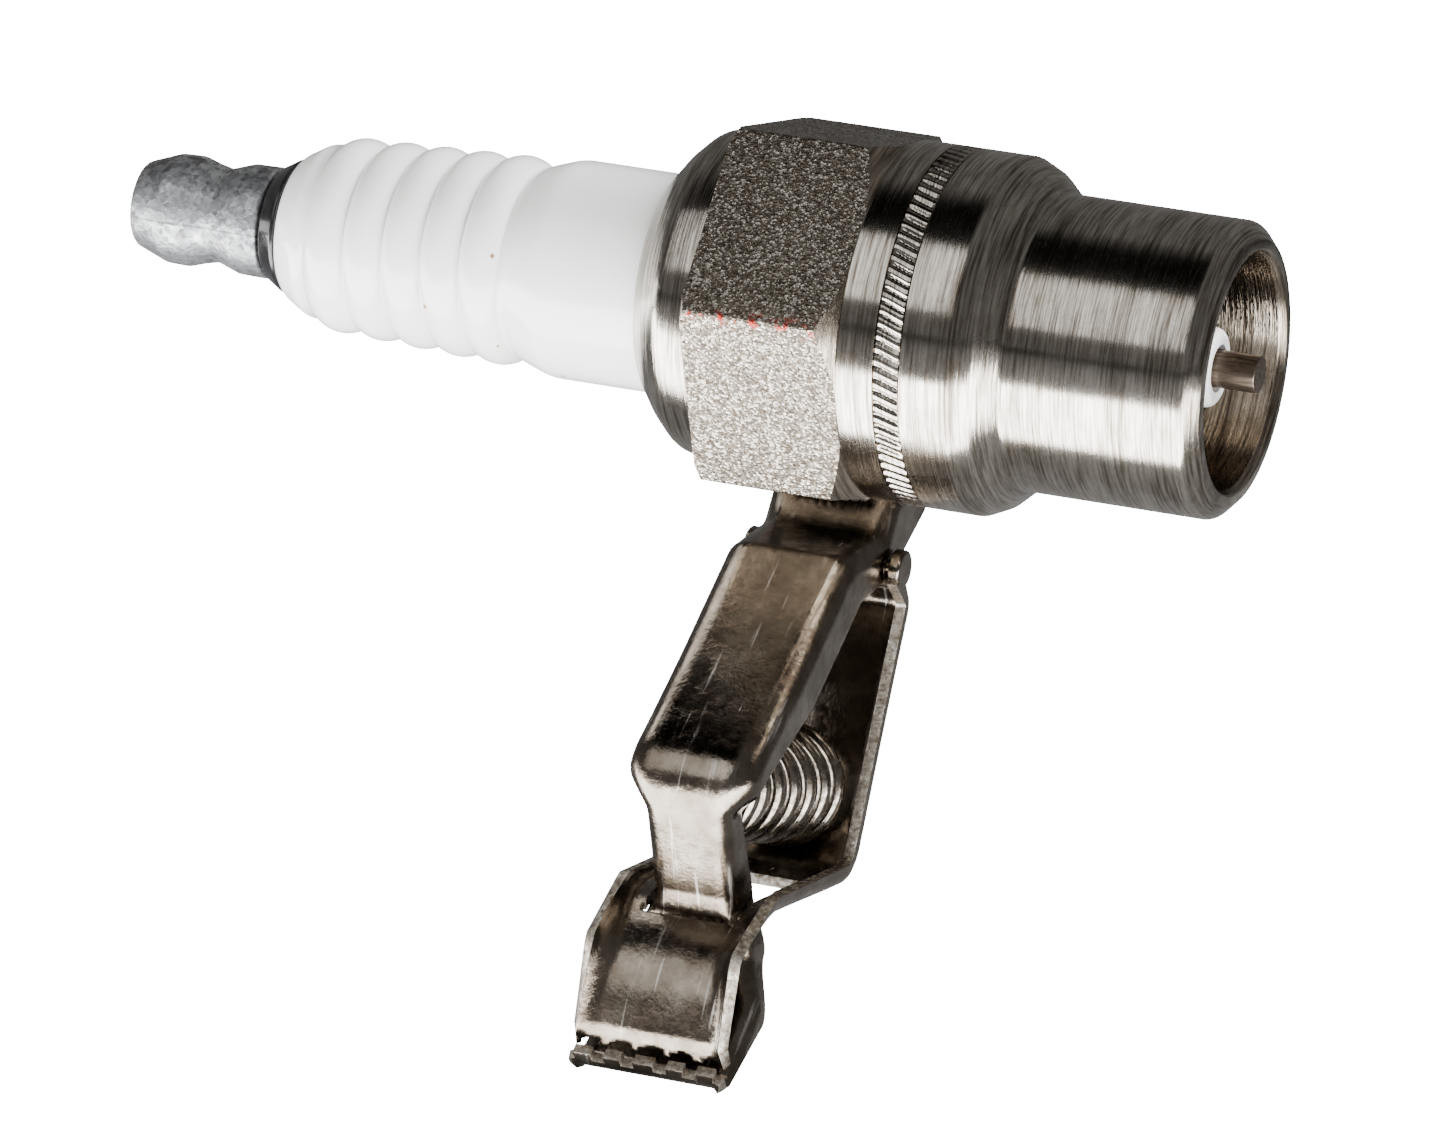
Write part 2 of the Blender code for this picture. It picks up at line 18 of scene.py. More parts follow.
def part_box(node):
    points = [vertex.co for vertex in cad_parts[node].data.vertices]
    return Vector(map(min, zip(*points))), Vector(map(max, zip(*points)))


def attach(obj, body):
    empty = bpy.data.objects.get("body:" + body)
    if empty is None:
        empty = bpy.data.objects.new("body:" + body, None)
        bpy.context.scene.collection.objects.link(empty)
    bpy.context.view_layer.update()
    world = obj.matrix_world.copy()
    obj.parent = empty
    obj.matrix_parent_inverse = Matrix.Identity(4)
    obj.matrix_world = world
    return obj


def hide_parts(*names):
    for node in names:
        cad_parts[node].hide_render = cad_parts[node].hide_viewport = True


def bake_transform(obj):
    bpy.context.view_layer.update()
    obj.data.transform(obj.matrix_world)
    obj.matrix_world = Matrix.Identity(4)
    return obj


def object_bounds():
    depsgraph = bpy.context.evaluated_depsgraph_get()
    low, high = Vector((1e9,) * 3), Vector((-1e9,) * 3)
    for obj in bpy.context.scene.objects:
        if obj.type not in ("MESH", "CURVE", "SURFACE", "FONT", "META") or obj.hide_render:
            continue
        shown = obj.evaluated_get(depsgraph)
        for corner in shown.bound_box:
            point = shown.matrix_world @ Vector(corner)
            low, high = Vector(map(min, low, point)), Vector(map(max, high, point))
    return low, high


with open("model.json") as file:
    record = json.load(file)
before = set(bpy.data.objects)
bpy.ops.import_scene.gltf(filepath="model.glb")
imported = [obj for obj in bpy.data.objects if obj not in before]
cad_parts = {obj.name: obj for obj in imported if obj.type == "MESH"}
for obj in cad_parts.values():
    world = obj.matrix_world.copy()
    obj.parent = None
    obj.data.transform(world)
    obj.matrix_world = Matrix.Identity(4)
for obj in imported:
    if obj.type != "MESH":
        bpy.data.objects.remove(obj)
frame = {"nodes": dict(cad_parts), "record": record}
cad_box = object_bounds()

MM = 0.001
PLUG = "plug_body"
REAR = "rear_lever"
TERMINAL = "terminal"
hinge = Vector(next(j for j in frame["record"]["behaviour"]["joints"] if j["name"] == "clip_hinge")["pos_m"])
shell_low, shell_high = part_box("shell")
ceramic_low, ceramic_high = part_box("insulator")
CLIP_X = hinge.x
print("frame box in mm:", [[round(v / MM, 2) for v in corner] for corner in cad_box])

# %% [markdown]
# ## Camera
# The object is small and was seen from far away with a long lens, so the picture has almost no
# perspective.  The plug slopes down to the right because the camera is a little above it, a little to
# the right of it, and rolled by a few degrees.

# %% Camera
VIEW_AZIMUTH = math.radians(20.6)
VIEW_ELEVATION = math.radians(8.1)
VIEW_ROLL = math.radians(6.3)
VIEW_TARGET = Vector((39.9, -2.3, -15.5)) * MM
VIEW_WIDTH = 84.4 * MM
LENS = 250.0
SENSOR = 36.0

camera_data = bpy.data.cameras.new("camera")
camera_data.lens = LENS
camera_data.sensor_width = SENSOR
camera_data.clip_start = 0.01
camera = bpy.data.objects.new("camera", camera_data)
bpy.context.scene.collection.objects.link(camera)
away = Vector((math.sin(VIEW_AZIMUTH) * math.cos(VIEW_ELEVATION),
               -math.cos(VIEW_AZIMUTH) * math.cos(VIEW_ELEVATION), math.sin(VIEW_ELEVATION)))
camera.location = VIEW_TARGET + away * VIEW_WIDTH * LENS / SENSOR
aim = (-away).to_track_quat("-Z", "Y").to_matrix() @ Matrix.Rotation(VIEW_ROLL, 3, "Z")
camera.rotation_euler = aim.to_euler()
bpy.context.scene.camera = camera
print("camera stands", round(VIEW_WIDTH * LENS / SENSOR, 3), "m away")

# %% [markdown]
# ## Two small helpers
# `fillet_path` rounds the corners of an outline with true arcs, so an outline stays a short list of
# corners.  `finish_piece` stores a bmesh as an object at the origin, smooth but with its sharp edges
# kept, hangs it on an empty named for the body it rides on, and hides the CAD node it stands for.

# %% Rounded outlines
def corner_arc(before, corner, after, radius, step_angle):
    corner = Vector(corner)
    side_in = (Vector(before) - corner).normalized()
    side_out = (Vector(after) - corner).normalized()
    half = side_in.angle(side_out) / 2
    if radius <= 0 or half > math.radians(89):
        return [corner]
    center = corner + (side_in + side_out).normalized() * radius / math.sin(half)
    start = corner + side_in * radius / math.tan(half) - center
    sweep = math.pi - 2 * half
    steps = max(2, math.ceil(sweep / step_angle))
    if side_in.x * side_out.y - side_in.y * side_out.x > 0:
        sweep = -sweep
    return [center + Matrix.Rotation(sweep * step / steps, 2) @ start for step in range(steps + 1)]


def fillet_path(rows, closed, step_angle=math.radians(9)):
    points = []
    for index, (a, b, radius) in enumerate(rows):
        if not closed and index in (0, len(rows) - 1):
            points.append(Vector((a, b)))
            continue
        after = rows[(index + 1) % len(rows)][:2]
        points.extend(corner_arc(rows[index - 1][:2], (a, b), after, radius, step_angle))
    return points


# %% Finished pieces
def finish_piece(name, bm, materials, body, node=None, sharp=30.0):
    mesh = bpy.data.meshes.new(name)
    bm.to_mesh(mesh)
    bm.free()
    mesh.shade_smooth()
    mesh.set_sharp_from_angle(angle=math.radians(sharp))
    for mat in materials:
        mesh.materials.append(mat)
    obj = bpy.data.objects.new(name, mesh)
    bpy.context.scene.collection.objects.link(obj)
    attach(obj, body)
    if node:
        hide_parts(node)
    print(name, "has", len(mesh.polygons), "faces")
    return obj


# %% [markdown]
# ## Turned pieces
# The terminal, the insulator, the shell and the electrode were all turned, so each is an outline of
# (station along X, radius) points that is spun a full turn about the X axis.  A full spin with
# use_merge closes the seam, and removing doubles closes the poles.

# %% Spin an outline
def spin_outline(outline, steps):
    bm = bmesh.new()
    verts = [bm.verts.new((point[0] * MM, 0.0, point[1] * MM)) for point in outline]
    edges = [bm.edges.new(pair) for pair in zip(verts, verts[1:])]
    if outline[0][1] > 0 and outline[-1][1] > 0:
        edges.append(bm.edges.new((verts[-1], verts[0])))
    bmesh.ops.spin(bm, geom=verts + edges, cent=(0, 0, 0), axis=(1, 0, 0), angle=2 * math.pi,
                   steps=steps, use_merge=True, use_duplicate=False)
    bmesh.ops.remove_doubles(bm, verts=bm.verts, dist=1e-7)
    bmesh.ops.recalc_face_normals(bm, faces=bm.faces)
    return bm


# %% [markdown]
# ## Shared effects
# A finish looks real when its gloss is uneven.  Three node groups are built once and used in most
# metals: fine turning rings, blasted or cast grain, and handling marks.  Each has named inputs and
# puts out only masks and heights.

# %% Node helpers
def new_group(name, inputs, outputs):
    group = bpy.data.node_groups.new(name, "ShaderNodeTree")
    for label, kind, value in inputs:
        socket = group.interface.new_socket(name=label, in_out="INPUT", socket_type=kind)
        if value is not None:
            socket.default_value = value
    for label in outputs:
        group.interface.new_socket(name=label, in_out="OUTPUT", socket_type="NodeSocketFloat")
    return group, group.nodes.new("NodeGroupInput"), group.nodes.new("NodeGroupOutput")


def add_node(tree, kind, links=None, **settings):
    node = tree.nodes.new(kind)
    for key, value in settings.items():
        setattr(node, key, value)
    for key, value in (links or {}).items():
        if isinstance(value, bpy.types.NodeSocket):
            tree.links.new(value, node.inputs[key])
        else:
            node.inputs[key].default_value = value
    return node


def scaled(tree, vector, scale):
    node = add_node(tree, "ShaderNodeVectorMath", {0: vector, 1: scale}, operation="MULTIPLY")
    return node.outputs[0]


def noise(tree, vector, scale, detail=3.0, rough=0.5):
    node = add_node(tree, "ShaderNodeTexNoise",
                    {"Vector": vector, "Scale": scale, "Detail": detail, "Roughness": rough})
    return node.outputs["Fac"]


def remap(tree, value, low, high, to_low=0.0, to_high=1.0):
    node = add_node(tree, "ShaderNodeMapRange", {"Value": value, "From Min": low, "From Max": high,
                                                 "To Min": to_low, "To Max": to_high})
    return node.outputs["Result"]


def math_node(tree, operation, first, second):
    return add_node(tree, "ShaderNodeMath", {0: first, 1: second}, operation=operation).outputs[0]


def ramp_color(tree, value, stops):
    node = add_node(tree, "ShaderNodeValToRGB", {"Fac": value})
    elements = node.color_ramp.elements
    while len(elements) < len(stops):
        elements.new(0.5)
    for element, (position, color) in zip(elements, stops):
        element.position = position
        element.color = (*color, 1.0)
    return node.outputs["Color"]


# %% Turning rings: streaks that run round the X axis
rings_group, entry, leave = new_group(
    "turning_rings", [("Vector", "NodeSocketVector", None), ("Spacing", "NodeSocketFloat", 2500.0)],
    ["Height", "Streaks"])
stretched = scaled(rings_group, entry.outputs["Vector"], (1.0, 0.035, 0.035))
fine = add_node(rings_group, "ShaderNodeTexNoise", {"Vector": stretched, "Scale": entry.outputs["Spacing"],
                                                    "Detail": 4.0, "Roughness": 0.65})
broad = noise(rings_group, stretched, 420.0, 3.0, 0.6)
streaks = math_node(rings_group, "ADD", math_node(rings_group, "MULTIPLY", fine.outputs["Fac"], 0.7),
                    math_node(rings_group, "MULTIPLY", broad, 0.3))
rings_group.links.new(fine.outputs["Fac"], leave.inputs["Height"])
rings_group.links.new(streaks, leave.inputs["Streaks"])

# %% Grain: small facets, as blasting or casting leaves
grain_group, entry, leave = new_group(
    "metal_grain", [("Vector", "NodeSocketVector", None), ("Scale", "NodeSocketFloat", 6000.0)],
    ["Height", "Facets"])
cells = add_node(grain_group, "ShaderNodeTexVoronoi",
                 {"Vector": entry.outputs["Vector"], "Scale": entry.outputs["Scale"]}, feature="F1")
cell_value = add_node(grain_group, "ShaderNodeSeparateColor", {0: cells.outputs["Color"]})
soft = noise(grain_group, entry.outputs["Vector"], 2600.0, 5.0, 0.7)
cell_height = math_node(grain_group, "MULTIPLY", cells.outputs["Distance"], 0.6)
grain_group.links.new(math_node(grain_group, "ADD", cell_height, soft), leave.inputs["Height"])
grain_group.links.new(cell_value.outputs[0], leave.inputs["Facets"])

# %% Handling marks: smudges, grime and fine scratches
marks_group, entry, leave = new_group(
    "handling_marks", [("Vector", "NodeSocketVector", None), ("Along", "NodeSocketVector", (1.0, 1.0, 1.0))],
    ["Smudge", "Scratch", "Grime"])
smudge = noise(marks_group, entry.outputs["Vector"], 260.0, 5.0, 0.62)
grime = noise(marks_group, entry.outputs["Vector"], 900.0, 6.0, 0.7)
drawn = scaled(marks_group, entry.outputs["Vector"], entry.outputs["Along"])
hair = noise(marks_group, drawn, 2200.0, 2.0, 0.6)
marks_group.links.new(remap(marks_group, smudge, 0.35, 0.68), leave.inputs["Smudge"])
marks_group.links.new(remap(marks_group, hair, 0.63, 0.72), leave.inputs["Scratch"])
marks_group.links.new(remap(marks_group, grime, 0.5, 0.72), leave.inputs["Grime"])
print("effect groups:", [group.name for group in bpy.data.node_groups])


# %% Start a material
def new_material(name, roughness=0.3, metallic=1.0):
    mat = bpy.data.materials.new(name)
    mat.use_nodes = True
    tree = mat.node_tree
    shader = tree.nodes["Principled BSDF"]
    shader.inputs["Roughness"].default_value = roughness
    shader.inputs["Metallic"].default_value = metallic
    vector = add_node(tree, "ShaderNodeTexCoord").outputs["Object"]
    return mat, tree, shader, vector


def use_group(tree, group, **links):
    node = tree.nodes.new("ShaderNodeGroup")
    node.node_tree = group
    for key, value in links.items():
        socket = node.inputs[key]
        if isinstance(value, bpy.types.NodeSocket):
            tree.links.new(value, socket)
        else:
            socket.default_value = value
    return node.outputs


def bump(tree, shader, height, distance, strength=1.0):
    """Bumps may be stacked: a new one takes the normal of the one before it."""
    before = shader.inputs["Normal"].links
    node = add_node(tree, "ShaderNodeBump", {"Height": height, "Distance": distance, "Strength": strength})
    if before:
        tree.links.new(before[0].from_socket, node.inputs["Normal"])
    tree.links.new(node.outputs["Normal"], shader.inputs["Normal"])


# %% [markdown]
# ## Nickel plate, turned
# The barrel, the collar and the lip were turned and then thinly plated.  Light runs round them in
# bands that are broken up by fine rings, and old handling has left the plate a warm grey.

# %% Turned nickel
def turned_nickel(name, dark, light, ring_depth, roughness):
    mat, tree, shader, vector = new_material(name)
    rings = use_group(tree, rings_group, Vector=vector, Spacing=7000.0)
    marks = use_group(tree, marks_group, Vector=vector, Along=(0.3, 1.0, 1.0))
    color = ramp_color(tree, rings["Streaks"], [(0.38, dark), (0.60, light)])
    grime = add_node(tree, "ShaderNodeMix", {0: math_node(tree, "MULTIPLY", marks["Grime"], 0.35), 6: color,
                                             7: (0.16, 0.12, 0.08, 1.0)}, data_type="RGBA")
    tree.links.new(grime.outputs[2], shader.inputs["Base Color"])
    uneven = math_node(tree, "MULTIPLY", marks["Smudge"], 0.05)
    streaky = remap(tree, rings["Streaks"], 0.35, 0.65, roughness + 0.08, roughness)
    tree.links.new(math_node(tree, "ADD", uneven, streaky), shader.inputs["Roughness"])
    bump(tree, shader, rings["Height"], ring_depth)
    return mat


turned_finish = turned_nickel("turned_nickel_plate", (0.13, 0.108, 0.082), (0.62, 0.575, 0.51),
                              0.000022, 0.08)
bore_finish = turned_nickel("bored_nickel_plate", (0.09, 0.068, 0.05), (0.56, 0.49, 0.40), 0.00005, 0.12)
print("turned finishes:", turned_finish.name, bore_finish.name)

# %% [markdown]
# ## The insulator
# Glazed alumina is nearly white and very smooth, with a clear wet gloss.  A coat layer over a slightly
# softer white gives the double shine of a glaze, and a few tiny iron specks show that it was fired.
# The ribs keep a spark from creeping down to the shell.  They are one formula, a swelling that is the
# square root of a cosine, so that the crests are full and the valleys are narrow.

# %% Glaze
glaze, tree, shader, vector = new_material("white_glaze", 0.22, 0.0)
shader.inputs["Coat Weight"].default_value = 0.6
shader.inputs["Coat Roughness"].default_value = 0.04
shader.inputs["Subsurface Weight"].default_value = 0.12
shader.inputs["Subsurface Radius"].default_value = (0.0012, 0.0010, 0.0009)
shader.inputs["Subsurface Scale"].default_value = 0.5
speck_cells = add_node(tree, "ShaderNodeTexVoronoi", {"Vector": vector, "Scale": 520.0}, feature="F1")
chance = add_node(tree, "ShaderNodeSeparateColor", {0: speck_cells.outputs["Color"]}).outputs[0]
speck = math_node(tree, "MULTIPLY", math_node(tree, "LESS_THAN", speck_cells.outputs["Distance"], 0.07),
                  math_node(tree, "GREATER_THAN", chance, 0.78))
cloud = noise(tree, vector, 160.0, 3.0)
white = ramp_color(tree, cloud, [(0.3, (0.88, 0.88, 0.87)), (0.7, (0.93, 0.93, 0.92))])
speckled = add_node(tree, "ShaderNodeMix", {0: speck, 6: white, 7: (0.30, 0.17, 0.09, 1.0)},
                    data_type="RGBA")
tree.links.new(speckled.outputs[2], shader.inputs["Base Color"])
bump(tree, shader, noise(tree, vector, 420.0, 2.0), 0.00003, 0.35)

# %% Rib outline
RIBS = 5
RIB_PITCH = 2.53
FIRST_RIB = 13.8
FIRST_RADIUS = 5.84
LAST_RADIUS = 6.24
RIB_DEPTH = 0.62
NECK = 6.5


def rib_points():
    points = []
    steps = 24
    for index in reversed(range(RIBS)):
        crest = FIRST_RADIUS + (LAST_RADIUS - FIRST_RADIUS) * index / (RIBS - 1)
        for step in range(steps):
            part = 0.5 - step / steps
            swell = math.cos(math.pi * part) ** 0.62 if abs(part) < 0.5 else 0.0
            points.append((FIRST_RIB + RIB_PITCH * (index + part), crest - RIB_DEPTH * (1 - swell)))
    return points


# %% Insulator
nose_end = ceramic_high[0] / MM
crown_start = ceramic_low[0] / MM
below_ribs = fillet_path([
    (nose_end, 1.4, 0.0), (nose_end, 2.25, 0.5), (54.6, 4.55, 2.0), (50.6, 5.0, 0.3), (50.4, 7.5, 0.3),
    (40.3, 7.5, 0.5), (39.7, NECK, 0.3), (27.6, NECK, 3.0), (26.0, 5.95, 2.2), (25.3, 5.62, 0.0)],
    closed=False)
above_ribs = fillet_path([
    (12.5, 5.28, 0.0), (11.7, 5.2, 1.0), (10.5, 4.5, 1.0), (crown_start, 4.2, 0.2),
    (crown_start, 2.0, 0.0), (45.9, 2.0, 0.0), (46.4, 1.4, 0.0)], closed=False)
ceramic = spin_outline(below_ribs + [Vector(point) for point in rib_points()] + above_ribs, 144)
finish_piece("glazed_insulator", ceramic, [glaze], PLUG, "insulator", 50)

# %% [markdown]
# ## Terminal and its seal
# The terminal is a cast and tumbled nut: dull, mottled grey, with a faint seam where its mould met.
# The ring under it is black and glossy, and it carries the line of the insulator's crown up to the
# metal.

# %% Cast metal
cast_metal, tree, shader, vector = new_material("tumbled_cast_metal", 0.42, 0.9)
grain = use_group(tree, grain_group, Vector=vector, Scale=2600.0)
marks = use_group(tree, marks_group, Vector=vector, Along=(0.2, 1.0, 1.0))
blotch = math_node(tree, "ADD", math_node(tree, "MULTIPLY", noise(tree, vector, 700.0, 6.0, 0.7), 0.8),
                   math_node(tree, "MULTIPLY", grain["Facets"], 0.2))
color = ramp_color(tree, blotch, [(0.34, (0.13, 0.13, 0.135)), (0.5, (0.30, 0.31, 0.32)),
                                  (0.66, (0.52, 0.53, 0.54))])
seam_place = add_node(tree, "ShaderNodeSeparateXYZ", {0: vector})
seam = math_node(tree, "LESS_THAN", math_node(tree, "ABSOLUTE", math_node(
    tree, "ADD", seam_place.outputs[2], 0.0006), 0.0), 0.00007)
in_front = math_node(tree, "LESS_THAN", seam_place.outputs[1], 0.0)
seam_color = add_node(tree, "ShaderNodeMix", {0: math_node(tree, "MULTIPLY", math_node(
    tree, "MULTIPLY", seam, in_front), 0.55), 6: color, 7: (0.10, 0.10, 0.10, 1.0)}, data_type="RGBA")
tree.links.new(seam_color.outputs[2], shader.inputs["Base Color"])
tree.links.new(remap(tree, blotch, 0.35, 0.65, 0.52, 0.34), shader.inputs["Roughness"])
bump(tree, shader, math_node(tree, "ADD", blotch, grain["Height"]), 0.00004)

# %% Terminal nut
terminal_outline = fillet_path([
    (2.1, 0.0, 0.0), (2.1, 2.0, 0.0), (8.6, 2.0, 0.0), (8.6, 3.36, 0.25), (6.75, 3.33, 0.7),
    (5.25, 2.82, 0.8), (4.25, 3.04, 1.0), (3.3, 3.34, 1.0), (2.0, 3.3, 1.0), (0.75, 2.84, 0.8),
    (0.0, 2.56, 0.3), (0.0, 0.0, 0.0)], closed=False)
finish_piece("cast_terminal_nut", spin_outline(terminal_outline, 96), [cast_metal], TERMINAL,
             "terminal_nut", 50)

# %% Black seal
black_seal, tree, shader, vector = new_material("black_seal", 0.16, 0.0)
shader.inputs["Coat Weight"].default_value = 0.4
uneven = noise(tree, vector, 900.0, 4.0)
tree.links.new(ramp_color(tree, uneven, [(0.3, (0.004, 0.004, 0.005)), (0.7, (0.016, 0.015, 0.016))]),
               shader.inputs["Base Color"])
tree.links.new(remap(tree, uneven, 0.3, 0.7, 0.12, 0.3), shader.inputs["Roughness"])
bump(tree, shader, uneven, 0.00003)
seal_low, seal_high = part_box("terminal_seal_ring")
ring_start = seal_low[0] / MM
ring_outline = fillet_path([
    (seal_high[0] / MM + 0.2, 4.2, 0.2), (ring_start - 0.15, 3.42, 0.25), (ring_start - 0.15, 2.0, 0.0),
    (seal_high[0] / MM + 0.2, 2.0, 0.0)], closed=True)
finish_piece("black_seal_ring", spin_outline(ring_outline, 96), [black_seal], PLUG,
             "terminal_seal_ring", 50)

# %% [markdown]
# ## Centre electrode
# A drawn nickel rod with a slightly rough, brownish skin.  Its tip is sheared flat.

# %% Electrode
electrode_skin, tree, shader, vector = new_material("electrode_nickel", 0.38)
drawn_lines = noise(tree, scaled(tree, vector, (0.08, 1.0, 1.0)), 5200.0, 3.0)
tint = ramp_color(tree, drawn_lines, [(0.3, (0.09, 0.068, 0.05)), (0.7, (0.25, 0.20, 0.16))])
tree.links.new(tint, shader.inputs["Base Color"])
tree.links.new(remap(tree, drawn_lines, 0.3, 0.7, 0.5, 0.3), shader.inputs["Roughness"])
bump(tree, shader, drawn_lines, 0.00003)
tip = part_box("centre_electrode")[1][0] / MM
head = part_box("centre_electrode")[0][0] / MM
rod_outline = fillet_path([
    (tip, 0.0, 0.0), (tip, 1.1, 0.07), (46.2, 1.1, 0.1), (45.5, 1.7, 0.1), (head, 1.7, 0.0),
    (head, 0.8, 0.0), (64.0, 0.8, 0.0), (64.0, 0.0, 0.0)], closed=False)
finish_piece("nickel_electrode", spin_outline(rod_outline, 64), [electrode_skin], PLUG,
             "centre_electrode", 40)

# %% [markdown]
# ## Shell
# The shell is one steel piece.  Its turned body is spun from an outline: lip, collar, sloping shoulder,
# barrel and bore.  The band of the hex is a separate mesh here, because its flats were blasted and the
# body was not.  The bore is the inner part of the same outline and gets a coarser finish.

# %% Turned body
mouth = shell_high[0] / MM
lip_start = shell_low[0] / MM + 0.9
body_outline = fillet_path([
    (69.2, 6.9, 0.15), (mouth, 7.15, 0.12), (mouth, 7.75, 0.3), (68.75, 8.72, 0.7), (57.8, 8.72, 0.45),
    (56.4, 10.0, 0.8), (55.2, 10.56, 0.7), (52.35, 10.56, 0.0), (52.3, 10.3, 0.0),
    (50.75, 10.3, 0.0), (50.7, 10.56, 0.0), (48.35, 10.56, 0.25), (48.3, 9.9, 0.0), (38.8, 9.9, 1.5),
    (36.7, 9.55, 1.5), (35.5, 8.4, 1.4), (lip_start, 6.95, 0.25), (lip_start + 0.2, 6.62, 0.1),
    (35.2, 6.8, 0.0), (35.9, 7.9, 0.0), (51.7, 7.9, 0.0), (51.7, 5.1, 0.0), (55.0, 5.1, 0.3),
    (57.0, 6.9, 0.6)], closed=True)
shell_mesh = spin_outline(body_outline, 192)
for face in shell_mesh.faces:
    middle = face.calc_center_median() / MM
    if middle.x > 51.0 and math.hypot(middle.y, middle.z) < 7.1:
        face.material_index = 1
finish_piece("turned_shell", shell_mesh, [turned_finish, bore_finish], PLUG, "shell",
             28)

# %% [markdown]
# ## Hex band
# A hexagonal bar whose corners were turned back at both ends, further at the collar.  The bar is a
# six-sided prism with its long edges softened, and a Boolean with a turned blank cuts the end chamfers,
# which leave the curved edges that every nut has.  The chamfers are turned metal, and not blasted.

# %% Blasted nickel
def blasted_nickel():
    mat, tree, shader, vector = new_material("blasted_nickel_plate", 0.36)
    grain = use_group(tree, grain_group, Vector=vector, Scale=7800.0)
    marks = use_group(tree, marks_group, Vector=vector, Along=(1.0, 1.0, 1.0))
    color = ramp_color(tree, grain["Facets"], [(0.0, (0.07, 0.055, 0.042)), (0.66, (0.21, 0.18, 0.145)),
                                               (0.97, (0.70, 0.66, 0.58))])
    place = add_node(tree, "ShaderNodeSeparateXYZ", {0: vector})
    height = math_node(tree, "ABSOLUTE", place.outputs[2], 0.0)
    near_corner = remap(tree, height, 0.0, 0.0007, 1.0, 0.0)
    flecks = remap(tree, noise(tree, vector, 1500.0, 3.0), 0.56, 0.62)
    red = math_node(tree, "MULTIPLY", math_node(tree, "MULTIPLY", near_corner, flecks), 0.8)
    painted = add_node(tree, "ShaderNodeMix", {0: red, 6: color, 7: (0.45, 0.03, 0.02, 1.0)},
                       data_type="RGBA")
    tree.links.new(painted.outputs[2], shader.inputs["Base Color"])
    rough = math_node(tree, "MULTIPLY", marks["Smudge"], 0.1)
    tree.links.new(math_node(tree, "ADD", rough, remap(tree, grain["Facets"], 0.0, 1.0, 0.38, 0.2)),
                   shader.inputs["Roughness"])
    bump(tree, shader, grain["Height"], 0.00009, 0.9)
    return mat


blasted_finish = blasted_nickel()

# %% Hex bar with chamfered ends
HEX_HALF_FLATS = 10.32
corner_radius = HEX_HALF_FLATS / math.cos(math.radians(30))
hex_start = 39.05
hex_end = 48.45
clear_radius = corner_radius + 0.05
bar = bmesh.new()
bmesh.ops.create_cone(bar, cap_ends=True, segments=6, radius1=corner_radius * MM,
                      radius2=corner_radius * MM, depth=(hex_end - hex_start) * MM)
long_edges = [edge for edge in bar.edges if abs((edge.verts[0].co - edge.verts[1].co).z) > 1e-4]
bmesh.ops.bevel(bar, geom=long_edges, offset=0.16 * MM, affect="EDGES", segments=3, profile=0.5,
                material=-1)
bmesh.ops.rotate(bar, verts=bar.verts, cent=(0, 0, 0), matrix=Matrix.Rotation(math.pi / 2, 3, "Y"))
bmesh.ops.translate(bar, verts=bar.verts, vec=((hex_start + hex_end) / 2 * MM, 0, 0))
hex_band = finish_piece("hex_band", bar, [blasted_finish], PLUG, "shell", 25)
blank_outline = [Vector(point) for point in (
    (hex_end + 0.2, 0.0), (hex_end + 0.2, 10.15), (hex_end - 1.1, clear_radius),
    (hex_start + 0.35, clear_radius), (hex_start - 0.2, 11.1), (hex_start - 0.2, 0.0))]
blank_mesh = bpy.data.meshes.new("hex_blank")
blank = spin_outline(blank_outline, 192)
blank.to_mesh(blank_mesh)
blank.free()
blank_object = bpy.data.objects.new("hex_blank", blank_mesh)
bpy.context.scene.collection.objects.link(blank_object)
chamfer = hex_band.modifiers.new("chamfer", "BOOLEAN")
chamfer.operation = "INTERSECT"
chamfer.object = blank_object
bpy.context.view_layer.update()
evaluated = hex_band.evaluated_get(bpy.context.evaluated_depsgraph_get())
cut_mesh = bpy.data.meshes.new_from_object(evaluated)
hex_band.modifiers.clear()
hex_band.data = cut_mesh
cut_mesh.shade_smooth()
cut_mesh.set_sharp_from_angle(angle=math.radians(22))
cut_mesh.materials.append(bore_finish)
for face in cut_mesh.polygons:
    face.material_index = 1 if abs(face.normal.x) > 0.2 else 0
bpy.data.objects.remove(blank_object)
print("hex band cut to", len(cut_mesh.polygons), "faces")

# %% [markdown]
# ## Serrated band on the collar
# A narrow band of slanted notches was rolled into the collar.  A grid is wrapped round the collar, over
# a shallow groove, and its points are lowered where a slanted wave dips, so the notches are real
# geometry.  The two edges of the grid are sunk into the groove.

# %% Serrated band
BAND_START = 50.65
BAND_WIDTH = 1.75
COLLAR = 10.56
NOTCHES = 88
NOTCH_PITCH = 0.75
NOTCH_SLANT = -0.36
NOTCH_DEPTH = 0.16
EDGE_DROP = 0.3
band = bmesh.new()
around = NOTCHES * 8
bmesh.ops.create_grid(band, x_segments=around, y_segments=12, size=1.0)
for vert in band.verts:
    turn = (vert.co.x + 1) / 2
    across = (vert.co.y + 1) / 2
    wave = math.cos(2 * math.pi * (turn * NOTCHES + across * NOTCH_SLANT * BAND_WIDTH / NOTCH_PITCH))
    fade = min(1.0, 6 * across, 6 * (1 - across))
    dip = max(0.0, wave) ** 0.8
    sunk = EDGE_DROP if across < 0.01 or across > 0.99 else 0.0
    radius = COLLAR - sunk - NOTCH_DEPTH * dip * fade
    angle = 2 * math.pi * turn
    station = BAND_START + BAND_WIDTH * across
    vert.co = Vector((station, radius * math.cos(angle), radius * math.sin(angle))) * MM
bmesh.ops.remove_doubles(band, verts=band.verts, dist=1e-7)
outward = max(band.faces, key=lambda face: face.calc_center_median().z)
if outward.normal.z < 0:
    bmesh.ops.reverse_faces(band, faces=band.faces)
finish_piece("serrated_band", band, [turned_finish], PLUG, "shell", 40)

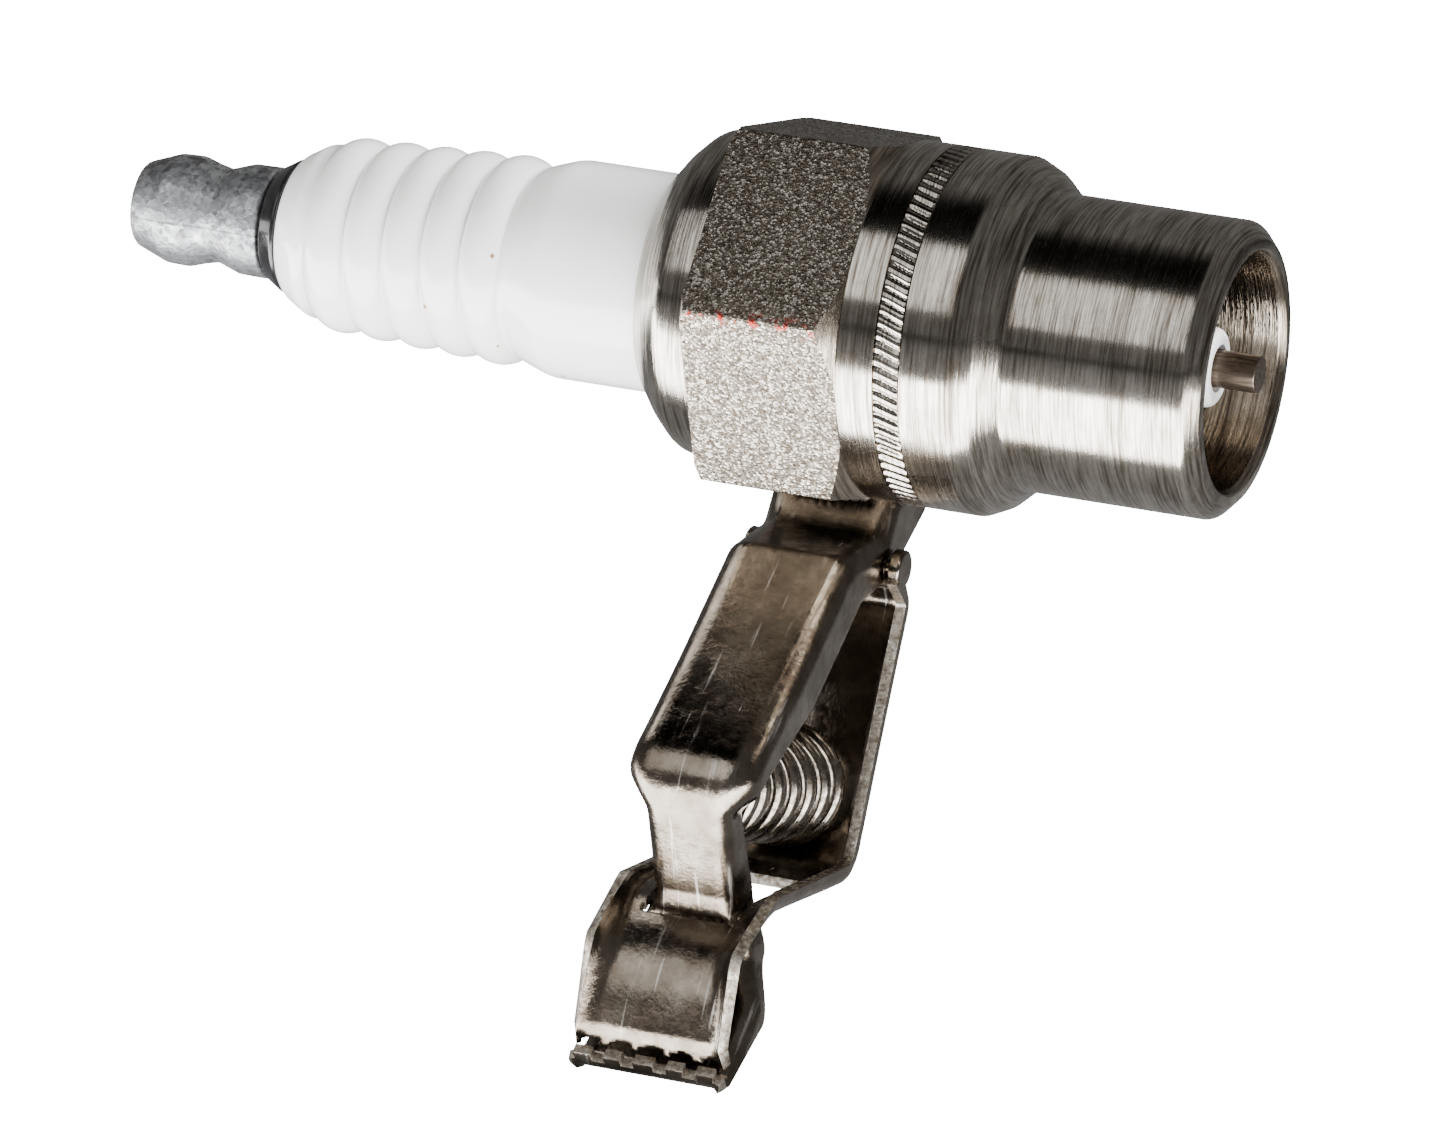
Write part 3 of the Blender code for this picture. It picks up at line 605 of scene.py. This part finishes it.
# %% [markdown]
# ## Clip steel
# The levers were blanked from strip, folded and plated.  Their faces are smooth with fine grain and
# lengthwise scratches, and the sheared rims are brighter and rougher.  The Solidify modifier can give
# the rim a material of its own, which is how the two finishes meet in the right place.

# %% Plated strip and sheared rim
def strip_finish(name, along):
    mat, tree, shader, vector = new_material(name, 0.2)
    marks = use_group(tree, marks_group, Vector=vector, Along=along)
    grain = use_group(tree, grain_group, Vector=vector, Scale=4200.0)
    color = ramp_color(tree, noise(tree, vector, 330.0, 5.0, 0.65), [
        (0.3, (0.12, 0.095, 0.072)), (0.55, (0.21, 0.18, 0.145)), (0.75, (0.34, 0.305, 0.26))])
    specks = add_node(tree, "ShaderNodeMix", {0: math_node(tree, "MULTIPLY", marks["Grime"], 0.45), 6: color,
                                              7: (0.10, 0.06, 0.04, 1.0)}, data_type="RGBA")
    scratched = add_node(tree, "ShaderNodeMix", {0: math_node(tree, "MULTIPLY", marks["Scratch"], 0.4),
                                                 6: specks.outputs[2], 7: (0.80, 0.78, 0.74, 1.0)},
                         data_type="RGBA")
    tree.links.new(scratched.outputs[2], shader.inputs["Base Color"])
    rough = math_node(tree, "ADD", remap(tree, marks["Smudge"], 0.0, 1.0, 0.13, 0.24),
                      math_node(tree, "MULTIPLY", marks["Scratch"], 0.15))
    tree.links.new(rough, shader.inputs["Roughness"])
    bump(tree, shader, marks["Grime"], 0.00002, 0.6)
    bump(tree, shader, grain["Height"], 0.00002, 0.35)
    return mat


front_strip = strip_finish("front_lever_plate", (1.0, 0.06, 0.06))
rear_strip = strip_finish("rear_lever_plate", (1.0, 0.06, 0.05))

sheared_rim, tree, shader, vector = new_material("sheared_rim", 0.36)
torn = noise(tree, vector, 1900.0, 6.0, 0.75)
tree.links.new(ramp_color(tree, torn, [(0.35, (0.12, 0.09, 0.065)), (0.5, (0.34, 0.30, 0.25)),
                                       (0.65, (0.70, 0.67, 0.61))]), shader.inputs["Base Color"])
tree.links.new(remap(tree, torn, 0.35, 0.65, 0.55, 0.28), shader.inputs["Roughness"])
bump(tree, shader, torn, 0.00008)

# %% [markdown]
# ## Folding a lever
# Each lever starts as a flat grid, the blank.  Its rows run along the lever and its columns across it.
# The window and the spaces between teeth are taken out of the flat blank by deleting faces, just as a
# press would.  Then every point is carried to its place on the folded shape: a path seen from the
# side, and a channel section with rounded folds.

# %% Stations along a lever
SHEET = 0.65
SHORT_WALL = 0.25
HINGE = Vector((hinge.y, hinge.z)) / MM


def eased(amount):
    return amount * amount * (3 - 2 * amount)


def lever_stations(rows, spacing):
    """(point, rim of the flange, half width, fold radius) along a path of rows from the hinge."""
    corners = [Vector(row[:2]) for row in rows]
    points = fillet_path([row[:3] for row in rows], closed=False, step_angle=math.radians(6))
    filled = [points[0]]
    for point in points[1:]:
        start = filled[-1]
        pieces = max(1, math.ceil((point - start).length / spacing))
        filled.extend(start.lerp(point, piece / pieces) for piece in range(1, pieces + 1))
    stations = []
    for point in filled:
        best = None
        for leg, (first, second) in enumerate(zip(corners, corners[1:])):
            along = (point - first).dot(second - first) / (second - first).length_squared
            along = min(1.0, max(0.0, along))
            distance = (first.lerp(second, along) - point).length
            if best is None or distance < best[0] - 1e-9:
                best = (distance, leg, along)
        here, there = rows[best[1]], rows[best[1] + 1]
        rim = Vector(here[3:5]).lerp(Vector(there[3:5]), best[2])
        amount = eased(best[2])
        width, fold = (a + (b - a) * amount for a, b in zip(here[5:], there[5:]))
        stations.append((point, rim, width, fold))
    return stations


# %% Channel section
def fold_angle(depth, radius):
    low, high = 0.0, math.pi / 2
    if depth >= radius + SHORT_WALL:
        return high
    for _ in range(24):
        angle = (low + high) / 2
        reached = radius * (1 - math.cos(angle)) + SHORT_WALL * math.sin(angle)
        low, high = (angle, high) if reached < depth else (low, angle)
    return angle


def section_place(share, half_width, depth, radius):
    """Offset from the middle, and depth below the face, for a share from -1 to 1 across the blank."""
    fold = fold_angle(depth, radius)
    wall = max(SHORT_WALL, depth - radius)
    flat = half_width - radius * math.sin(fold) - wall * math.cos(fold)
    size = abs(share)
    if size <= FLAT_SHARE:
        return math.copysign(flat * size / FLAT_SHARE, share), 0.0
    angle = fold * min(1.0, (size - FLAT_SHARE) / (WALL_SHARE - FLAT_SHARE))
    reach = wall * max(0.0, (size - WALL_SHARE) / (1 - WALL_SHARE))
    offset = flat + radius * math.sin(angle) + reach * math.cos(fold)
    return math.copysign(offset, share), radius * (1 - math.cos(angle)) + reach * math.sin(fold)


FLAT_SHARE = 0.6
WALL_SHARE = 0.82

# %% Fold a blank
def fold_lever(rows, cut_out):
    """Carry a flat blank to its folded place; cut_out picks the waste by its place."""
    stations = lever_stations(rows, 0.34)
    columns = 70
    bm = bmesh.new()
    bmesh.ops.create_grid(bm, x_segments=columns, y_segments=len(stations) - 1, size=1.0)
    for vert in bm.verts:
        row = round((vert.co.y + 1) / 2 * (len(stations) - 1))
        point, rim, half_width, fold = stations[row]
        inward = rim - point
        offset, below = section_place(vert.co.x, half_width, inward.length, fold)
        place = point + inward.normalized() * below + HINGE
        vert.co = Vector((offset + CLIP_X / MM, place.x, place.y)) * MM
    middle = Vector((CLIP_X / MM, 0, 0))
    gone = [face for face in bm.faces if cut_out(face.calc_center_median() / MM - middle)]
    bmesh.ops.delete(bm, geom=gone, context="FACES")
    bm.normal_update()
    point, rim = stations[len(stations) // 4][:2]
    spot = Vector((CLIP_X / MM, *(point + HINGE))) * MM
    nearest = min(bm.faces, key=lambda face: (face.calc_center_median() - spot).length)
    if nearest.normal.dot(Vector((0.0, *(rim - point)))) > 0:
        bmesh.ops.reverse_faces(bm, faces=bm.faces)
    return bm


def thicken(obj, rim_slot):
    sheet = obj.modifiers.new("sheet", "SOLIDIFY")
    sheet.thickness = SHEET * MM
    sheet.offset = -1.0
    sheet.use_even_offset = True
    sheet.material_offset_rim = rim_slot
    edge = obj.modifiers.new("soft_edge", "BEVEL")
    edge.width = 0.07 * MM
    edge.segments = 2
    edge.limit_method = "ANGLE"
    edge.loop_slide = False
    edge.angle_limit = math.radians(50)


# %% [markdown]
# ## Front lever
# Its tail is welded under the hex.  Its body is a deep channel that ends in a rounded corner, and a
# narrow neck goes down through the window of the other lever and widens into the rear jaw, which curls
# forward into five teeth.

# %% Front lever
TEETH = 5
TOOTH_PITCH = 1.9
TOOTH_WIDTH = 1.1


def between_teeth(place):
    if place.z > -41.8 or place.y > -15.72 or place.z < -43.35:
        return False
    nearest = round(place.x / TOOTH_PITCH)
    return abs(place.x - nearest * TOOTH_PITCH) > TOOTH_WIDTH / 2


front_rows = [
    (4.7, 4.55, 0.0, 5.0, 3.0, 4.0, 1.1), (0.1, 4.55, 1.0, 2.7, 1.3, 4.0, 1.2),
    (-1.4, 2.1, 1.8, 0.3, -0.5, 4.0, 1.5), (-6.8, 1.1, 1.2, -4.3, -1.7, 4.0, 1.6),
    (-12.9, -4.4, 0.0, -10.5, -7.3, 4.0, 1.7), (-20.3, -10.8, 3.2, -17.7, -11.4, 4.0, 1.7),
    (-18.9, -13.75, 0.0, -16.6, -13.1, 2.6, 1.0), (-16.4, -18.2, 1.2, -13.5, -17.7, 2.6, 1.0),
    (-15.5, -21.4, 2.0, -12.9, -21.5, 3.6, 1.0), (-16.4, -24.5, 1.8, -14.8, -25.4, 4.7, 1.1),
    (-20.05, -28.2, 0.8, -19.9, -28.48, 4.8, 1.1), (-20.93, -27.15, 0.0, -21.0, -27.2, 4.8, 1.1)]
front_lever = finish_piece("front_lever_plate", fold_lever(front_rows, between_teeth),
                           [front_strip, sheared_rim], PLUG, "clip_front_lever", 60)
thicken(front_lever, 1)

# %% [markdown]
# ## Rear lever
# A long spine, a rounded heel, a cross piece with the window that the neck passes through, and the
# front jaw, which is dished so that it looks like a small scoop.  Its ears carry the pivot bosses.

# %% Rear lever
def window_and_notches(place):
    window_front = -11.6
    window_rear = -2.2
    window_half_width = 2.95
    middle = (window_front + window_rear) / 2
    half_length = (window_rear - window_front) / 2
    inside = max(abs(place.y - middle) / half_length, abs(place.x) / window_half_width)
    if place.z < -31.5 and place.y > window_front - 0.1 and inside < 1.0:
        return True
    if place.z > -16.25 and abs(place.x) < 4.2:
        return True
    nearest = round(place.x / TOOTH_PITCH)
    in_notch = abs(place.x - nearest * TOOTH_PITCH) < (TOOTH_WIDTH + 0.3) / 2
    return place.z < -41.75 and in_notch and abs(nearest) <= TEETH // 2


rear_rows = [
    (0.4, 0.4, 0.0, -1.15, -0.87, 4.95, 1.1), (2.45, -2.1, 1.5, 0.85, -2.2, 4.95, 1.1),
    (-2.2, -18.5, 2.4, -3.4, -17.2, 4.95, 1.1), (-15.1, -19.2, 5.0, -15.5, -17.8, 4.95, 1.5),
    (-18.9, -21.7, 6.0, -20.1, -20.85, 4.85, 2.3), (-20.0, -26.0, 1.0, -20.5, -26.0, 4.8, 1.8),
    (-19.7, -26.9, 0.0, -19.8, -26.93, 4.8, 1.1)]
rear_lever = finish_piece("rear_lever_plate", fold_lever(rear_rows, window_and_notches),
                          [rear_strip, sheared_rim], REAR, "clip_rear_lever", 60)
thicken(rear_lever, 1)

# %% [markdown]
# ## Hinge ears
# Each lever has a pair of round ears.  The front ears have a hole, and the rear ears have a boss, raised
# from the sheet with a punch, that sits in it.  All are spun about the hinge's own axis.

# %% Hinge ears
def hinge_ears(name, outline, body, mat, node):
    ears = bmesh.new()
    for side in (-1, 1):
        profile = [(side * x, radius, fillet) for x, radius, fillet in outline]
        ear = spin_outline(fillet_path(profile, closed=outline[0][1] > 0), 64)
        bmesh.ops.translate(ear, verts=ear.verts, vec=hinge)
        ear_mesh = bpy.data.meshes.new("ear")
        ear.to_mesh(ear_mesh)
        ear.free()
        ears.from_mesh(ear_mesh)
        bpy.data.meshes.remove(ear_mesh)
    finish_piece(name, ears, [mat], body, node, 40)


hinge_ears("front_ears", [(3.32, 0.7, 0.08), (4.03, 0.7, 0.08), (4.03, 1.1, 0.1), (3.32, 1.1, 0.1)],
           PLUG, front_strip, "clip_front_lever")
hinge_ears("rear_ears", [(4.98, 0.0, 0.0), (4.98, 1.15, 0.2), (4.27, 1.15, 0.08), (4.27, 0.45, 0.06),
                         (3.4, 0.45, 0.12), (3.4, 0.0, 0.0)], REAR, rear_strip, "clip_rear_lever")

# %% [markdown]
# ## Spring
# A tapered coil of bright round wire.  The coil is a curve with a round bevel, closed up by one turn at
# each end, and it is made into a mesh.

# %% Bright wire
bright_wire, tree, shader, vector = new_material("bright_spring_wire", 0.16)
die_marks = noise(tree, vector, 2400.0, 4.0)
tree.links.new(ramp_color(tree, die_marks, [(0.35, (0.11, 0.09, 0.07)), (0.65, (0.33, 0.295, 0.25))]),
               shader.inputs["Base Color"])
tree.links.new(remap(tree, die_marks, 0.35, 0.65, 0.28, 0.12), shader.inputs["Roughness"])
bump(tree, shader, die_marks, 0.00001)

# %% Coil
WIRE = 0.87
FRONT_COIL_RADIUS = 2.72
COIL_WIDENING = 0.65
TURNS = 7
CLOSED_PITCH = 1.12
coil_start = Vector((CLIP_X / MM, HINGE.x - 15.9, HINGE.y - 11.9))
coil_end = Vector((CLIP_X / MM, HINGE.x - 2.25, HINGE.y - 13.3))
coil_axis = coil_end - coil_start
coil_frame = coil_axis.to_track_quat("Z", "X").to_matrix()
open_pitch = (coil_axis.length - 2 * CLOSED_PITCH) / (TURNS - 2)
curve = bpy.data.curves.new("spring_curve", "CURVE")
curve.dimensions = "3D"
curve.bevel_depth = WIRE / 2 * MM
curve.bevel_resolution = 5
curve.use_fill_caps = True
spline = curve.splines.new("POLY")
per_turn = 48
spline.points.add(TURNS * per_turn)
for index, spline_point in enumerate(spline.points):
    turn = index / per_turn
    if turn < 1:
        along = turn * CLOSED_PITCH
    elif turn > TURNS - 1:
        along = coil_axis.length - (TURNS - turn) * CLOSED_PITCH
    else:
        along = CLOSED_PITCH + (turn - 1) * open_pitch
    radius = FRONT_COIL_RADIUS + COIL_WIDENING * along / coil_axis.length
    angle = 2 * math.pi * turn
    local = Vector((radius * math.cos(angle), radius * math.sin(angle), along))
    spline_point.co = (*((coil_frame @ local + coil_start) * MM), 1.0)
curve_object = bpy.data.objects.new("spring_curve", curve)
bpy.context.scene.collection.objects.link(curve_object)
bpy.context.view_layer.update()
evaluated = curve_object.evaluated_get(bpy.context.evaluated_depsgraph_get())
coil_mesh = bpy.data.meshes.new_from_object(evaluated)
bpy.data.objects.remove(curve_object)
coil = bmesh.new()
coil.from_mesh(coil_mesh)
bmesh.ops.remove_doubles(coil, verts=coil.verts, dist=1e-7)
bmesh.ops.recalc_face_normals(coil, faces=coil.faces)
coil.to_mesh(coil_mesh)
coil.free()
coil_mesh.shade_smooth()
coil_mesh.set_sharp_from_angle(angle=math.radians(50))
coil_mesh.materials.append(bright_wire)
spring = bpy.data.objects.new("coil_spring", coil_mesh)
bpy.context.scene.collection.objects.link(spring)
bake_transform(spring)
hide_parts("clip_spring")
print("spring has", len(coil_mesh.polygons), "faces over", round(coil_axis.length, 1), "mm")

# %% [markdown]
# ## Welds
# Small beads hold the tail of the clip to the hex.  Each is a row of overlapping drops, the end ones
# smaller, that cover the edge of the tail and reach up to the hex.

# %% Weld metal and beads
weld_metal, tree, shader, vector = new_material("weld_metal", 0.4)
slag = noise(tree, vector, 1300.0, 5.0, 0.7)
tree.links.new(ramp_color(tree, slag, [(0.35, (0.07, 0.06, 0.05)), (0.65, (0.38, 0.34, 0.30))]),
               shader.inputs["Base Color"])
tree.links.new(remap(tree, slag, 0.35, 0.65, 0.6, 0.3), shader.inputs["Roughness"])
bump(tree, shader, slag, 0.00006)
for bead_name in ("clip_weld_left", "clip_weld_right", "clip_weld_front"):
    low, high = (Vector(corner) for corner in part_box(bead_name))
    size = high - low
    along = Vector((1, 0, 0)) if size.x > size.y else Vector((0, 1, 0))
    length = max(size.x, size.y)
    drops = 9
    bead = bmesh.new()
    for drop in range(drops):
        share = (drop + 0.5) / drops - 0.5
        radius = 0.62 * MM * (1 - 0.35 * (2 * share) ** 2)
        center = (low + high) / 2 + along * share * (length - 0.8 * MM) + Vector((0, 0, 0.1 * MM))
        bmesh.ops.create_uvsphere(bead, u_segments=20, v_segments=12, radius=radius,
                                  matrix=Matrix.Translation(center))
    finish_piece(bead_name + "_bead", bead, [weld_metal], PLUG, bead_name, 60)

# %% [markdown]
# ## Inner pieces
# The pieces inside the insulator and the shell keep their CAD meshes.  They can only be seen when the
# plug is taken apart, but each still gets a finish: fired glass, pressed powder, mild steel or copper.

# %% Inner finishes
def inner_finish(name, low_color, high_color, roughness, metallic, scale, depth):
    mat, tree, shader, vector = new_material(name, roughness, metallic)
    pattern = noise(tree, vector, scale, 5.0, 0.65)
    tree.links.new(ramp_color(tree, pattern, [(0.35, low_color), (0.65, high_color)]),
                   shader.inputs["Base Color"])
    uneven = remap(tree, pattern, 0.3, 0.7, roughness + 0.1, roughness - 0.1)
    tree.links.new(uneven, shader.inputs["Roughness"])
    bump(tree, shader, pattern, depth)
    return mat


inner_rows = [
    ("terminal_stud", "mild_steel_stud", (0.25, 0.23, 0.21), (0.42, 0.40, 0.37), 0.4, 1.0, 1400.0, 2e-5),
    ("upper_glass_seal", "fired_seal_glass", (0.06, 0.05, 0.05), (0.18, 0.15, 0.13), 0.25, 0.2, 900.0, 2e-5),
    ("resistor", "resistor_mix", (0.02, 0.02, 0.02), (0.08, 0.08, 0.08), 0.6, 0.0, 2500.0, 3e-5),
    ("copper_core", "drawn_copper", (0.60, 0.27, 0.16), (0.80, 0.42, 0.26), 0.32, 1.0, 1600.0, 1e-5),
    ("talc_packing", "pressed_talc", (0.66, 0.64, 0.58), (0.80, 0.78, 0.73), 0.9, 0.0, 2200.0, 5e-5),
    ("seat_gasket", "soft_steel_ring", (0.28, 0.26, 0.24), (0.45, 0.43, 0.40), 0.45, 1.0, 1800.0, 2e-5)]
inner = {row[0]: inner_finish(*row[1:]) for row in inner_rows}
inner["lower_glass_seal"] = inner["upper_glass_seal"]
inner["upper_packing_ring"] = inner["lower_packing_ring"] = inner["seat_gasket"]
for node_name, mat in inner.items():
    node = frame["nodes"][node_name]
    node.data.materials.clear()
    node.data.materials.append(mat)
print("inner pieces finished:", len(inner))

# %% [markdown]
# ## Floor and light
# Polished metal shows whatever is round it.  A dim room keeps its upper sides dark, a long soft lamp low
# in front lights the undersides, and smaller soft lamps draw the bright bands.  The floor and the room
# are plain white only to the camera.  Reflected in the metal, the floor is a dark grey and the room is
# dim, because a white room all round would wash out the bands.  The side lamp lights the ceramic but is
# left out of reflections.

# %% Floor
FLOOR_DROP = 0.004
floor_mesh = bpy.data.meshes.new("floor")
ground = bmesh.new()
bmesh.ops.create_grid(ground, x_segments=1, y_segments=1, size=3.0)
ground.to_mesh(floor_mesh)
ground.free()
floor = bpy.data.objects.new("floor", floor_mesh)
floor.location = (0.0, 0.0, cad_box[0][2] - FLOOR_DROP)
bpy.context.scene.collection.objects.link(floor)
pale, tree, shader, vector = new_material("pale_floor", 0.9, 0.0)
clouds = noise(tree, vector, 3.0, 2.0)
tree.links.new(ramp_color(tree, clouds, [(0.3, (0.13, 0.13, 0.13)), (0.7, (0.16, 0.16, 0.16))]),
               shader.inputs["Base Color"])
shader.inputs["Specular IOR Level"].default_value = 0.1
glow = add_node(tree, "ShaderNodeEmission", {"Color": (1.0, 1.0, 1.0, 1.0), "Strength": 20.0})
camera_ray = add_node(tree, "ShaderNodeLightPath").outputs["Is Camera Ray"]
both = add_node(tree, "ShaderNodeMixShader", {0: camera_ray, 1: shader.outputs[0], 2: glow.outputs[0]})
tree.links.new(both.outputs[0], tree.nodes["Material Output"].inputs["Surface"])
floor_mesh.materials.append(pale)

# %% Room
world = bpy.data.worlds.new("studio")
bpy.context.scene.world = world
world.use_nodes = True
room = world.node_tree
backdrop = room.nodes["Background"]
direction = add_node(room, "ShaderNodeTexCoord").outputs["Generated"]
toward_sky = add_node(room, "ShaderNodeVectorMath", {0: direction, 1: (-0.345, -0.23, 0.91)},
                      operation="DOT_PRODUCT")
dim = remap(room, toward_sky.outputs["Value"], 0.88, 0.965, 0.18, 0.003)
seen = add_node(room, "ShaderNodeLightPath").outputs["Is Camera Ray"]
tone = add_node(room, "ShaderNodeMix", {0: seen, 2: dim, 3: 20.0})
room.links.new(tone.outputs[0], backdrop.inputs["Strength"])
backdrop.inputs["Color"].default_value = (1.0, 0.98, 0.96, 1.0)

# %% Lamps
middle = (Vector(cad_box[0]) + Vector(cad_box[1])) / 2


def lamp(name, place, size, radiance, toward, mirrored=True):
    data = bpy.data.lights.new(name, "AREA")
    data.shape = "RECTANGLE"
    data.size, data.size_y = size
    data.energy = radiance * math.pi * size[0] * size[1]
    obj = bpy.data.objects.new(name, data)
    bpy.context.scene.collection.objects.link(obj)
    obj.location = place
    obj.rotation_euler = (Vector(toward) - Vector(place)).to_track_quat("-Z", "Y").to_euler()
    obj.visible_glossy = mirrored


low = cad_box[0][2] - FLOOR_DROP / 2
lamp("low_lamp", (0.04, -0.052, low), (0.5, 0.068), 14.0, (0.04, -0.052, 1.0))
lamp("front_lamp", (-0.13, -0.36, 0.27), (0.35, 0.34), 1.6, middle)
lamp("side_lamp", (0.38, 0.04, 0.42), (0.5, 0.5), 14.0, middle, mirrored=False)
lamp("left_lamp", (-0.3, -0.02, -0.025), (0.1, 0.06), 5.0, (0.04, -0.01, -0.04))
print("lamps:", [light.name for light in bpy.data.lights])
